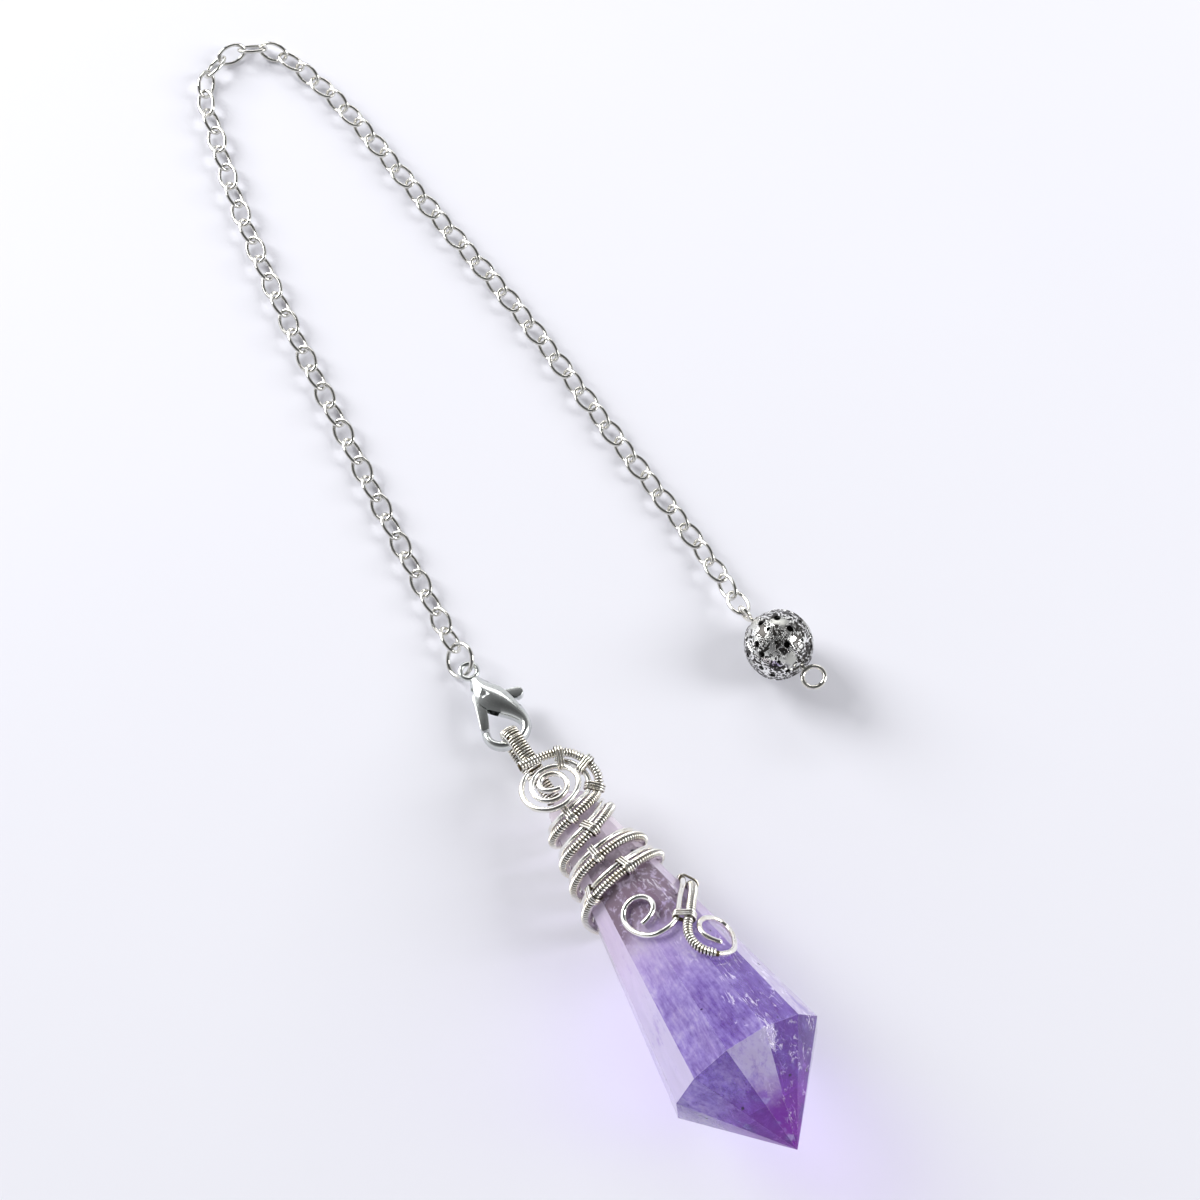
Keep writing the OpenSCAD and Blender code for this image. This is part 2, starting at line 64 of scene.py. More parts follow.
# %% Camera
look_at = Vector((14.78, -4.73, 0)) * MM
camera_distance = 471 * MM
camera_rise = math.radians(68)
focal_length = 98.9
sensor_width = 36

lens = bpy.data.cameras.new("camera")
lens.lens = focal_length
lens.sensor_width = sensor_width
lens.clip_start = 10 * MM
camera = bpy.data.objects.new("camera", lens)
scene.collection.objects.link(camera)
to_camera = Vector((0, -math.cos(camera_rise), math.sin(camera_rise)))
camera.location = look_at + camera_distance * to_camera
camera.rotation_euler = (math.pi / 2 - camera_rise, 0, 0)
scene.camera = camera
print("camera", [round(c, 3) for c in camera.location])

# %% [markdown]
# Shader maths reads best as plain arithmetic. Nodes could be wired by hand one at a time.
# Instead one small class wraps a socket, so that an expression such as 1 - mask adds the
# Math nodes by itself, and one method makes every other kind of node.

# %% Shader maths
class Value:
    """A socket that can be used in arithmetic."""

    def __init__(self, finish, socket):
        self.finish, self.socket = finish, socket

    def maths(self, operation, first, second=None):
        sockets = {0: first} if second is None else {0: first, 1: second}
        return self.finish.node("ShaderNodeMath", {"operation": operation}, sockets)

    def __add__(self, other):
        return self.maths("ADD", self, other)

    def __radd__(self, other):
        return self.maths("ADD", other, self)

    def __sub__(self, other):
        return self.maths("SUBTRACT", self, other)

    def __rsub__(self, other):
        return self.maths("SUBTRACT", other, self)

    def __mul__(self, other):
        return self.maths("MULTIPLY", self, other)

    def __rmul__(self, other):
        return self.maths("MULTIPLY", other, self)

    def size(self):
        return self.maths("ABSOLUTE", self)

    def most(self, other):
        return self.maths("MAXIMUM", self, other)

    def least(self, other):
        return self.maths("MINIMUM", self, other)

    def between(self, low, high):
        """0 below low, 1 above high, and smooth from one to the other."""
        return self.finish.node(
            "ShaderNodeMapRange", {"interpolation_type": "SMOOTHSTEP"},
            {"Value": self, "From Min": low, "From Max": high})


class Finish:
    """A material whose nodes are added by name."""

    def __init__(self, name):
        self.material = bpy.data.materials.new(name)
        self.material.use_nodes = True
        self.tree = self.material.node_tree
        self.tree.nodes.clear()

    def node(self, kind, settings=None, sockets=None, out=0):
        made = self.tree.nodes.new(kind)
        for key, value in (settings or {}).items():
            if key == "stops":
                ramp = made.color_ramp
                while len(ramp.elements) < len(value):
                    ramp.elements.new(0.5)
                for stop, (place, colour) in zip(ramp.elements, value):
                    stop.position = place
                    stop.color = (*colour, 1)
            else:
                setattr(made, key, value)
        for key, value in (sockets or {}).items():
            if isinstance(value, Value):
                self.tree.links.new(value.socket, made.inputs[key])
            elif isinstance(value, tuple) and made.inputs[key].type == "RGBA":
                made.inputs[key].default_value = (*value, 1)
            else:
                made.inputs[key].default_value = value
        return Value(self, made.outputs[out])

    def place(self):
        """Where a point is on the object, in millimetres."""
        here = self.node("ShaderNodeTexCoord", out="Object")
        return self.node("ShaderNodeVectorMath", {"operation": "SCALE"}, {0: here, "Scale": 1000})

    def noise(self, at, size, detail=3, roughness=0.5, warp=0.0):
        """Cloudy noise whose blotches are about size across."""
        return self.node("ShaderNodeTexNoise", None, {
            "Vector": at, "Scale": 1 / size, "Detail": detail,
            "Roughness": roughness, "Distortion": warp})

    def mix(self, amount, first, second):
        """Two colours blended by amount."""
        return self.node("ShaderNodeMix", {"data_type": "RGBA"},
                         {0: amount, 6: first, 7: second}, out=2)

    def bump(self, height, depth, strength=1.0):
        return self.node("ShaderNodeBump", None, {
            "Height": height, "Distance": depth, "Strength": strength})

    def surface(self, **sockets):
        """The main shader, with the given values on its sockets."""
        return self.node("ShaderNodeBsdfPrincipled", None,
                         {key.replace("_", " "): value for key, value in sockets.items()})

    def done(self, shader, inside=None):
        out = self.tree.nodes.new("ShaderNodeOutputMaterial")
        self.tree.links.new(shader.socket, out.inputs["Surface"])
        if inside:
            self.tree.links.new(inside.socket, out.inputs["Volume"])
        return self.material


# %% [markdown]
# Light. A pale table under two big soft lamps and a low strip behind gives the bright,
# nearly shadowless floor of a catalogue photograph. One lamp straight overhead would be
# simpler, but it would veil the stone's top facets. The sky is darker overhead than at its
# sides, because polished metal mirrors it: bright flanks with a thin dark line are what
# make wire look like silver.

# %% Floor and light
def pale_table():
    f = Finish("table")
    at = f.place()
    tint = f.noise(at, 60, 2)
    colour = f.mix(tint, (0.80, 0.80, 0.86), (0.82, 0.82, 0.88))
    return f.done(f.surface(Base_Color=colour, Roughness=0.85))


bpy.ops.mesh.primitive_plane_add(size=3)
table = bpy.context.object
table.name = "table"
table.data.materials.append(pale_table())

# How bright the sky is, from the horizon (0) to overhead (1).
sky_bands = [(0.0, 0.90), (0.25, 0.90), (0.42, 0.50), (0.60, 0.20), (0.84, 0.15), (1.0, 0.06)]
sky_tint = (0.97, 0.98, 1.0)

sky = bpy.data.worlds.new("studio")
scene.world = sky
sky.use_nodes = True
nodes, links = sky.node_tree.nodes, sky.node_tree.links
direction = nodes.new("ShaderNodeTexCoord")
height = nodes.new("ShaderNodeSeparateXYZ")
bands = nodes.new("ShaderNodeValToRGB")
links.new(direction.outputs["Generated"], height.inputs[0])
links.new(height.outputs["Z"], bands.inputs[0])
while len(bands.color_ramp.elements) < len(sky_bands):
    bands.color_ramp.elements.new(0.5)
for stop, (place, level) in zip(bands.color_ramp.elements, sky_bands):
    stop.position = place
    stop.color = (*(level * part for part in sky_tint), 1)
links.new(bands.outputs[0], nodes["Background"].inputs[0])
nodes["Background"].inputs[1].default_value = 1.0


def soft_lamp(name, at, size, power):
    """A rectangular lamp that faces the middle of the table."""
    data = bpy.data.lights.new(name, "AREA")
    data.shape = "RECTANGLE"
    data.size, data.size_y = size
    data.energy = power
    lamp = bpy.data.objects.new(name, data)
    scene.collection.objects.link(lamp)
    lamp.location = at
    towards_middle = Vector((0, 0, 0)) - Vector(at)
    lamp.rotation_euler = towards_middle.to_track_quat("-Z", "Y").to_euler()
    print(name, power, "W at", at)


soft_lamp("left_lamp", (-0.75, 0.52, 0.52), (0.55, 0.62), 11.6)
soft_lamp("right_lamp", (0.85, 0.0, 0.55), (0.4, 0.6), 5.6)
soft_lamp("far_lamp", (-0.05, 0.75, 0.5), (0.6, 0.14), 1.3)
scene.view_settings.view_transform = "Standard"

# %% [markdown]
# Reading a wire's route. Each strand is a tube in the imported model, made of equal rings.
# Its route could be typed in again as a list. It is safer to read it off the tube: from
# one end's ring, the points joined to it and not yet seen are the next ring, and so on.
# The end is known by its flat cap, and corners are taken in the order of their numbers, so
# that every run reads the same route.

# %% Route of a tube
doubled = 0.002 * MM
same_plane = 0.9999


def joined_mesh(node):
    """The node's mesh with its doubled corners merged."""
    made = bmesh.new()
    made.from_mesh(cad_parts[node].data)
    bmesh.ops.remove_doubles(made, verts=made.verts, dist=doubled)
    return made


def tube_route(node):
    """Middle and radius of every ring of a tube, from one end to the other."""
    made = joined_mesh(node)
    made.verts.ensure_lookup_table()
    made.verts.index_update()

    def in_order(corners):
        return sorted(corners, key=lambda v: v.index)

    def spread(start):
        seen, ring, rings = set(start), list(start), [list(start)]
        while ring:
            ring = in_order({e.other_vert(v) for v in ring for e in v.link_edges} - seen)
            seen.update(ring)
            if ring:
                rings.append(ring)
        return rings

    def flatness(corner):
        """Most faces round the corner that lie in one plane, and one of those faces."""
        alike = [sum(face.normal.dot(other.normal) > same_plane for other in corner.link_faces)
                 for face in corner.link_faces]
        return max(alike), corner.link_faces[alike.index(max(alike))]

    far_end = max(spread([made.verts[0]])[-1], key=lambda corner: flatness(corner)[0])
    flat = flatness(far_end)[1]
    cap = {far_end}
    growing = True
    while growing:
        near = {v for c in cap for face in c.link_faces
                if face.normal.dot(flat.normal) > same_plane for v in face.verts}
        growing = bool(near - cap)
        cap |= near
    rings = spread(in_order(cap))
    middles = [sum((v.co for v in ring), Vector()) / len(ring) for ring in rings]
    radii = [sum((v.co - m).length for v in ring) / len(ring) for ring, m in zip(rings, middles)]
    print(node, "rings:", len(rings), "corners:", min(map(len, rings)), "to", max(map(len, rings)))
    made.free()
    return np.array(middles), np.array(radii)


coil_route, coil_radii = tube_route("coil_strand")
plain_route, _ = tube_route("plain_strand")
rosette_route, _ = tube_route("rosette")

# %% [markdown]
# A smoother route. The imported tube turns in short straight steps, and a winding would show
# each one. A spline object could smooth it, but it can't be measured so easily. Here a
# curve is drawn through the points, cut into equal steps, and its small corners are worn
# away by taking each point a little towards its neighbours.

# %% Smoothing a route
steps_between_points = 8


def drawn_smooth(points, step):
    """A smooth curve through the points, cut into equal steps."""
    ends = np.vstack([2 * points[0] - points[1], points, 2 * points[-1] - points[-2]])
    t = np.linspace(0, 1, steps_between_points, endpoint=False)[:, None]
    spans = [(2 * b + (c - a) * t + (2 * a - 5 * b + 4 * c - d) * t ** 2
              + (3 * b - a - 3 * c + d) * t ** 3) / 2
             for a, b, c, d in zip(ends, ends[1:], ends[2:], ends[3:])]
    fine = np.vstack(spans + [points[-1:]])
    run = np.append(0, np.cumsum(np.linalg.norm(np.diff(fine, axis=0), axis=1)))
    at = np.linspace(0, run[-1], max(3, round(run[-1] / step) + 1))
    return np.stack([np.interp(at, run, fine[:, axis]) for axis in range(3)], axis=1)


def eased(points, rounds=12):
    """The same route with its small corners worn away. Its two ends stay."""
    points = points.copy()
    for repeat in range(rounds):
        points[1:-1] = (points[:-2] + 2 * points[1:-1] + points[2:]) / 4
    return points


def lengths(points):
    """How far along the route each point lies."""
    return np.append(0, np.cumsum(np.linalg.norm(np.diff(points, axis=0), axis=1)))


for name, route in [("coil", coil_route), ("plain", plain_route), ("rosette", rosette_route)]:
    print(name, "route", round(lengths(route)[-1] / MM, 1), "mm")

# %% [markdown]
# Round wire. A wire could be a curve object with a bevel, but a swept mesh lets each point
# carry extra facts, such as how deep it lies in a winding. A frame slides along the route
# without twisting, and rings of corners are set around it and joined.

# %% Sweeping a wire
def unit(v):
    return v / np.linalg.norm(v, axis=-1, keepdims=True)


def sliding_frame(points):
    """Tangent and two crosswise directions at every point, carried along untwisted."""
    along = unit(np.gradient(points, axis=0))
    side = np.cross(along[0], [0, 0, 1.0])
    if np.linalg.norm(side) < 0.1:
        side = np.cross(along[0], [1.0, 0, 0])
    sides = []
    for t in along:
        side = side - t * side.dot(t)
        side = side / np.linalg.norm(side)
        sides.append(side)
    sides = np.array(sides)
    return along, sides, np.cross(along, sides)


def ring_faces(rings, corners):
    """Faces between the rings of one swept wire, with an end cap at each end."""
    faces = []
    for ring in range(rings - 1):
        a, b = ring * corners, (ring + 1) * corners
        faces += [(a + k, a + (k + 1) % corners, b + (k + 1) % corners, b + k)
                  for k in range(corners)]
    faces.append(tuple(range(corners))[::-1])
    faces.append(tuple((rings - 1) * corners + k for k in range(corners)))
    return faces


def sweep(points, radii, corners):
    """Corners and faces of a round wire along the points."""
    along, side, up = sliding_frame(points)
    turn = np.linspace(0, 2 * math.pi, corners, endpoint=False)
    rings = (points[:, None] + np.reshape(radii, (-1, 1, 1)) * (
        np.cos(turn)[None, :, None] * side[:, None] + np.sin(turn)[None, :, None] * up[:, None]))
    return rings.reshape(-1, 3), ring_faces(len(points), corners)


cut_length = 0.12 * MM
cut_depth = 0.8 * cut_length


def with_cut_ends(points, radius):
    """The route and its radii, with a short chamfer where the wire was cut."""
    along = unit(np.gradient(points, axis=0))
    radii = np.full(len(points), radius)
    start = points[0] - along[0] * cut_length
    end = points[-1] + along[-1] * cut_length
    chamfer = radius - cut_depth
    return np.vstack([start, points, end]), np.concatenate([[chamfer], radii, [chamfer]])


print("wire ends chamfered over", cut_length / MM, "mm")

# %% [markdown]
# Making a piece. Each wire could be left as a curve object; as a mesh it can be measured,
# and its corners can carry facts for the finish to read.

# %% Placing a piece
def make_piece(name, parts, material, body=BODY, smooth=50, facts=None):
    """One mesh object out of (corners, faces) parts, riding on a body."""
    corners, faces, base = [], [], 0
    for part_corners, part_faces in parts:
        corners.append(np.asarray(part_corners))
        faces += [tuple(base + k for k in face) for face in part_faces]
        base += len(part_corners)
    mesh = bpy.data.meshes.new(name)
    mesh.from_pydata(np.vstack(corners).tolist(), [], faces)
    for fact, values in (facts or {}).items():
        mesh.attributes.new(fact, "FLOAT", "POINT").data.foreach_set(
            "value", np.asarray(values, dtype=np.float32))
    return place_piece(name, mesh, material, body, smooth)


def place_piece(name, mesh, material, body=BODY, smooth=50):
    """Puts a finished mesh in the scene with its finish, smooth except at sharp edges."""
    mesh.validate()
    mesh.materials.clear()
    mesh.materials.append(material)
    piece = bpy.data.objects.new(name, mesh)
    scene.collection.objects.link(piece)
    if smooth:
        mesh.shade_smooth()
        mesh.set_sharp_from_angle(angle=math.radians(smooth))
    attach(piece, body)
    print(f"{name}: {sum(len(p.vertices) - 2 for p in mesh.polygons)} triangles")
    return piece


# %% [markdown]
# Silver wire. Plated craft wire is bright, a little warm, and never quite even: it carries
# faint lengthwise drawing lines and small dull spots. A plain metal shader would look like
# chrome. Two sizes of noise vary its gloss and colour, and a fine bump breaks its glints.

# %% Finish of the bare wire
bright_silver = (0.92, 0.91, 0.88)
warm_silver = (0.82, 0.78, 0.69)


def silver_wire():
    f = Finish("silver_wire")
    at = f.place()
    patches = f.noise(at, 2.2, 3)
    grain = f.noise(at, 0.12, 2)
    colour = f.mix(patches.between(0.45, 0.75), bright_silver, warm_silver)
    rough = 0.08 + 0.12 * patches + 0.04 * grain
    normal = f.bump(grain, 0.01 * MM, 0.1)
    return f.done(f.surface(Base_Color=colour, Metallic=1.0, Roughness=rough, Normal=normal))


# %% [markdown]
# Wound wire. Between the turns of a fine winding the metal is painted darker and browner:
# painted shade, for the grooves that light reaches only after bouncing. That could be a
# texture of stripes. Here every corner of the winding knows how deep it lies, and the finish
# paints the shade from that.

# %% Finish of the windings
fine_bright = (0.94, 0.925, 0.88)
fine_warm = (0.88, 0.83, 0.72)
# Painted shade: a near-black brown laid in the grooves between turns and on the cores under a
# winding.
painted_groove_shade = (0.13, 0.10, 0.055)


def wound_wire():
    f = Finish("wound_wire")
    at = f.place()
    deep = f.node("ShaderNodeAttribute", {"attribute_name": "depth"}, out="Fac")
    patches = f.noise(at, 1.6, 3)
    # Painted shade: the deeper a point lies in the winding, the darker it is painted.
    groove_shade = deep.between(0.12, 0.48)
    colour = f.mix(patches.between(0.4, 0.7), fine_bright, fine_warm)
    colour = f.mix(groove_shade, colour, painted_groove_shade)
    rough = 0.10 + 0.10 * patches + 0.30 * groove_shade
    return f.done(f.surface(Base_Color=colour, Metallic=1.0, Roughness=rough))


wire_finish = silver_wire()
winding_finish = wound_wire()
print("finishes:", wire_finish.name, "and", winding_finish.name)

# %% [markdown]
# The plain wire and the rosette. Both are one length of bare wire, bent by hand. The
# packed tubes have six flat sides, so each is drawn again along its own route with
# sixteen, and its ends get the small chamfer that a wire cutter leaves.

# %% Bare wires
wire_radius = 0.4 * MM
wire_corners = 16
wire_step = 0.25 * MM


def bare_wire(name, route, node):
    points, radii = with_cut_ends(eased(drawn_smooth(route, wire_step)), wire_radius)
    piece = make_piece(name, [sweep(points, radii, wire_corners)], wire_finish)
    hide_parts(node)


bare_wire("plain_wire", plain_route, "plain_strand")
bare_wire("spiral_wire", rosette_route, "rosette")

# %% [markdown]
# The wound strand. A fine wire is wrapped closely round a core, turn beside turn, and the
# wrapped length is then bent round the stone. An array along a curve could repeat one turn,
# but turns would pinch at bends. A helix computed on the sliding frame stays even.

# %% Winding a fine wire
fine_wire = 0.33 * MM
winding_pitch = 0.44 * MM
fine_corners = 8


def helix(axis, reach, pitch, thickness, points_per_turn=12):
    """A fine wire wound round the axis. reach(turn) gives how far out its middle lies, as a
    pair of lengths along the two crosswise directions."""
    points = drawn_smooth(axis, pitch / points_per_turn)
    along, side, up = sliding_frame(points)
    turn = 2 * math.pi * lengths(points) / pitch
    first, second = reach(turn)
    middle = points + first[:, None] * side + second[:, None] * up
    outward = unit(middle - points)
    forward = unit(np.gradient(middle, axis=0))
    crosswise = np.cross(forward, outward)
    phase = np.linspace(0, 2 * math.pi, fine_corners, endpoint=False)
    rings = middle[:, None] + thickness / 2 * (
        np.cos(phase)[None, :, None] * outward[:, None]
        + np.sin(phase)[None, :, None] * crosswise[:, None])
    # depth: 0 on the fine wire's outer side, 1 where it faces the core; the winding finish paints
    # shade from it.
    depth = np.tile((1 - np.cos(phase)) / 2, len(points))
    return (rings.reshape(-1, 3), ring_faces(len(points), fine_corners)), depth


def round_reach(radius):
    return lambda turn: (radius * np.cos(turn), radius * np.sin(turn))


print("fine wire", fine_wire / MM, "mm, one turn every", winding_pitch / MM, "mm")

# %% [markdown]
# The strand's packed tube is thick where it is wound and thin where its core lies bare. The
# places could be typed in, but reading them off the tube's own radius keeps the two in
# step. The core runs through the winding and comes out of it as the bare curl.

# %% Wound strand
wound_radius = 0.7 * MM
core_overlap = 0.02 * MM
wound = coil_radii > (wound_radius + wire_radius) / 2
if not wound[:3].any():
    coil_route, coil_radii, wound = coil_route[::-1], coil_radii[::-1], wound[::-1]
wound_axis = eased(drawn_smooth(coil_route[wound], wire_step))
turns, depth = helix(wound_axis, round_reach(wound_radius - fine_wire / 2),
                     winding_pitch, fine_wire)
winding = make_piece("strand_winding", [turns], winding_finish, facts={"depth": depth},
                     smooth=80)
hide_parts("coil_strand")

core_radius = wound_radius - fine_wire + core_overlap
bare_route = eased(drawn_smooth(coil_route, wire_step))
core_points, core_radii = with_cut_ends(bare_route, wire_radius)
wound_share = lengths(coil_route)[wound][-1] / lengths(coil_route)[-1]
covered = np.arange(len(core_radii)) < wound_share * len(core_radii)
core_radii[covered] = core_radius
# Where the winding covers the core, the core gets depth 1 and so is painted in full groove shade.
core = make_piece("strand_core", [sweep(core_points, core_radii, wire_corners)], winding_finish,
                  facts={"depth": np.repeat(covered.astype(float), wire_corners)})
print("wound length", round(lengths(wound_axis)[-1] / MM, 1), "mm")

# %% [markdown]
# The stone's own frame. The bail, the crystal and what lies in it all follow the stone's
# axis, which tips a little on the table. The axis could be copied as numbers; it is found
# from the stone's own corners instead, so it stays true if the stone's size changes.

# %% Stone's frame
# The widest ring of corners is the girdle, and the ring furthest from it ends the neck.
# The line between their middles is the axis. A few rounds bring it to rest.
stone_sides = 12
settling_rounds = 4
stone_mesh = joined_mesh("stone")
stone_points = np.array([v.co for v in stone_mesh.verts])
stone_mesh.free()
middle = stone_points.mean(axis=0)
axis = np.linalg.svd(stone_points - middle)[2][0]
for repeat in range(settling_rounds):
    out = stone_points - middle
    radius = np.linalg.norm(out - np.outer(out @ axis, axis), axis=1)
    girdle_corners = stone_points[np.argsort(-radius)[:stone_sides]]
    girdle = girdle_corners.mean(axis=0)
    reach = (stone_points - girdle) @ axis
    neck_side = -1 if abs(reach.min()) > reach.max() else 1
    far = stone_points[np.argsort(neck_side * reach)[-stone_sides:]].mean(axis=0)
    axis = unit(girdle - far)
    middle = girdle
stone_x = Vector(axis)
stone_y = Vector((0, 0, 1)).cross(stone_x).normalized()
stone_z = stone_x.cross(stone_y)
stone_axes = Matrix((stone_x, stone_y, stone_z)).transposed()
stone_frame = Matrix.Translation(Vector(girdle)) @ stone_axes.to_4x4()
stone_turn = stone_axes.to_euler("XYZ")
print("girdle", [round(c / MM, 2) for c in girdle], "radius", round(radius.max() / MM, 2))


def in_stone(points):
    """Points given in the stone's frame in millimetres, as places in the scene."""
    points = np.asarray(points) * MM
    return points @ np.array(stone_frame.to_3x3()).T + np.array(stone_frame.translation)


# %% [markdown]
# The bail is a flat band of wires with a fine wire wound round it, bent into a loop that
# stands on edge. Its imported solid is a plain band, which could be kept and given a striped
# bump. The winding is the same helix as on the strand, but it goes round a flattened oval
# instead of a circle, so that its ridges show on the outline too.

# %% Band of the bail
# Width and thickness in millimetres, and how square the section is: 1 is an ellipse.
bail_band = (2.4, 1.3)
band_squareness = 0.62


def band_reach(turn, inset=fine_wire / 2):
    """A flattened oval: the fine wire's middle runs round the band's section."""
    half = [size * MM / 2 - inset for size in bail_band]
    cosine, sine = np.cos(turn), np.sin(turn)
    return (half[0] * np.sign(cosine) * np.abs(cosine) ** band_squareness,
            half[1] * np.sign(sine) * np.abs(sine) ** band_squareness)


def band_core(axis, corners=24):
    """The flat band itself, under its winding."""
    points = drawn_smooth(axis, 0.3 * MM)
    along, side, up = sliding_frame(points)
    turn = np.linspace(0, 2 * math.pi, corners, endpoint=False)
    first, second = band_reach(turn, fine_wire - core_overlap)
    rings = (points[:, None] + first[None, :, None] * side[:, None]
             + second[None, :, None] * up[:, None])
    return rings.reshape(-1, 3), ring_faces(len(points), corners)


print("band", bail_band, "mm")

# %% [markdown]
# The bail's route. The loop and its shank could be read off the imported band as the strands
# were, but the band is forked where the loop closes. Its box in the stone's frame gives the
# height and the ends, and the loop is a slot with round ends drawn between them.

# %% Bail
# Lengths in millimetres. The loop's ends stay open by a small angle, in radians.
bail_loop_length = 9.6
shank_inset = 0.1
loop_mouth = 0.12
bail_points_per_turn = 28
bail_points = np.array([v.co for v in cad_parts["bail"].data.vertices])
to_stone = np.array(stone_frame.inverted())
bail_local = (bail_points @ to_stone[:3, :3].T + to_stone[:3, 3]) / MM
bail_low, bail_high = bail_local.min(axis=0), bail_local.max(axis=0)
loop_height = bail_high[2] - bail_low[2]
loop_middle_y = (bail_low[1] + bail_high[1]) / 2
loop_middle_z = (bail_low[2] + bail_high[2]) / 2


def slot_route(length, height, steps=16):
    """Middle line of the loop, which starts and ends at the shank."""
    round_r = height / 2
    bend = length / 2 - round_r

    def arc(middle, start, end, count):
        return [(middle + round_r * math.cos(a), round_r * math.sin(a))
                for a in np.linspace(start, end, count)]

    return (arc(bend, loop_mouth, math.pi / 2, steps)
            + arc(-bend, math.pi / 2, 3 * math.pi / 2, 2 * steps)
            + arc(bend, -math.pi / 2, -loop_mouth, steps))


loop_centre_x = bail_low[0] + bail_loop_length / 2
loop = [(loop_centre_x + x, loop_middle_y, loop_middle_z + z)
        for x, z in slot_route(bail_loop_length - bail_band[1], loop_height - bail_band[1])]
loop_end = bail_low[0] + bail_loop_length - bail_band[1] / 2
shank_end = bail_high[0] - shank_inset
shank = [(x, loop_middle_y, loop_middle_z) for x in np.linspace(loop_end, shank_end, 8)]
loop_turns, loop_depth = helix(in_stone(loop), band_reach, winding_pitch, fine_wire,
                               bail_points_per_turn)
shank_turns, shank_depth = helix(in_stone(shank), band_reach, winding_pitch, fine_wire,
                                 bail_points_per_turn)
cores = [band_core(in_stone(loop)), band_core(in_stone(shank))]
# The band cores under the winding get depth 1, so they are painted in full groove shade.
core_depths = [np.ones(len(corners)) for corners, _ in cores]
bail = make_piece("bail_winding", [loop_turns, shank_turns] + cores, winding_finish, smooth=80,
                  facts={"depth": np.concatenate([loop_depth, shank_depth] + core_depths)})
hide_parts("bail")

# %% [markdown]
# Ties. Where two wires run side by side, a few turns of fine wire bind them together.
# They could be modelled one by one at the bench. Here a tie is told only how far along the
# wound strand it sits and which bare wire it takes in, and its loop hugs both.

# %% Ties that bind the wires
tie_pitch = 0.37 * MM
tie_gap = 0.03 * MM
tie_turns = 3
tie_reach = 8
tie_step = 0.09 * MM
near_points, far_points = 22, 14
axis_step, axis_rounds = 0.1 * MM, 40
strand_axis = drawn_smooth(bare_route, axis_step)
plain_axis = eased(drawn_smooth(plain_route, axis_step), axis_rounds)
rosette_axis = eased(drawn_smooth(rosette_route, axis_step), axis_rounds)


def tie(share, partner):
    """A few turns round the strand, at a share of its length, and round its partner."""
    index = int(share * len(strand_axis))
    here = strand_axis[index]
    before, after = max(index - tie_reach, 0), min(index + tie_reach, len(strand_axis) - 1)
    along = unit(strand_axis[after] - strand_axis[before])
    other = partner[np.argmin(np.linalg.norm(partner - here, axis=1))]
    apart = other - here
    apart = apart - along * apart.dot(along)
    distance = np.linalg.norm(apart)
    print("tie at", share, "takes in a wire", round(distance / MM, 2), "mm away")
    first, second = apart / distance, np.cross(along, apart / distance)
    near_r = wound_radius + tie_gap + fine_wire / 2
    far_r = wire_radius + tie_gap + fine_wire / 2
    split = math.acos((near_r - far_r) / distance)
    near = np.linspace(split, 2 * math.pi - split, near_points)
    far = np.linspace(-split, split, far_points)
    outline = np.vstack([
        np.stack([near_r * np.cos(near), near_r * np.sin(near)], axis=1),
        np.stack([distance + far_r * np.cos(far), far_r * np.sin(far)], axis=1)])
    steps = np.arange(len(outline) * tie_turns)
    across = outline[steps % len(outline)]
    advance = (steps / len(outline) - tie_turns / 2) * tie_pitch
    points = (here + across[:, :1] * first + across[:, 1:] * second + advance[:, None] * along)
    points = drawn_smooth(points, tie_step)
    centre = here + apart * (distance - far_r + near_r) / (2 * distance)
    corners, faces = sweep(points, fine_wire / 2, fine_corners)
    # The side of each tie's wire that faces the wires it binds is painted as groove shade.
    inward = np.repeat(unit(centre - points), fine_corners, axis=0)
    lean = (unit(corners - np.repeat(points, fine_corners, axis=0)) * inward).sum(axis=1)
    return (corners, faces), (1 + lean) / 2


# Where each tie sits, as a share of the wound strand's length.
plain_ties = [0.0515, 0.0735, 0.109, 0.256, 0.443, 0.632, 0.664, 0.812, 0.864]
ties = [tie(0.030, rosette_axis)] + [tie(share, plain_axis) for share in plain_ties]
tie_wires = make_piece("ties", [part for part, _ in ties], winding_finish,
                       facts={"depth": np.concatenate([depth for _, depth in ties])}, smooth=80)

# %% [markdown]
# The crystal. Real quartz bends light at every facet, drinks some of it on the way and
# is polished flat between narrow edges. Painting a picture of that on the facets would
# slide with the eye. Glass with a coloured inside does most of it by itself, and each edge
# gets a small bevel, because no polished edge is perfectly sharp. Each facet still carries
# a painted light and shade of its own, and the bevels carry a painted highlight.

# %% Facets of the crystal
# Painted light and shade of each facet: how pale (0) or nearly black violet (1) it is painted,
# mostly for how light falls on it and partly for the stone's deeper colour at the point.
# The first value is the facet on top, and the others follow it round the stone.
body_facet_shades = [0.26, 0.38, -0.06, 0.40, 0.55, 0.30, 0.50, 0.35, 0.55, 0.10, -0.12, 0.23]
point_facet_shades = [0.04, 0.97, 0.90, 0.55, 0.70, 0.45, 0.65, 0.40, 0.60, 0.30, 0.33, 0.55]
# Bevel faces are marked with this value, and the finish paints them white as a highlight along the
# edges.
edge_glint_mark = -0.4
edge_width = 0.12 * MM
narrow = 0.2 * MM
shortest_edge = 0.5 * MM
flat_angle = math.radians(0.6)


def painted_facet_shade(face, to_stone):
    """The painted light and shade of a facet, found from the way it faces in the stone's frame."""
    longest = max(edge.calc_length() for edge in face.edges)
    if face.calc_area() / longest < narrow:
        return edge_glint_mark
    normal = to_stone @ face.normal
    turn = math.degrees(math.atan2(normal.y, normal.z))
    index = round(turn / (360 / stone_sides)) % stone_sides
    return point_facet_shades[index] if normal.x > 0 else body_facet_shades[index]


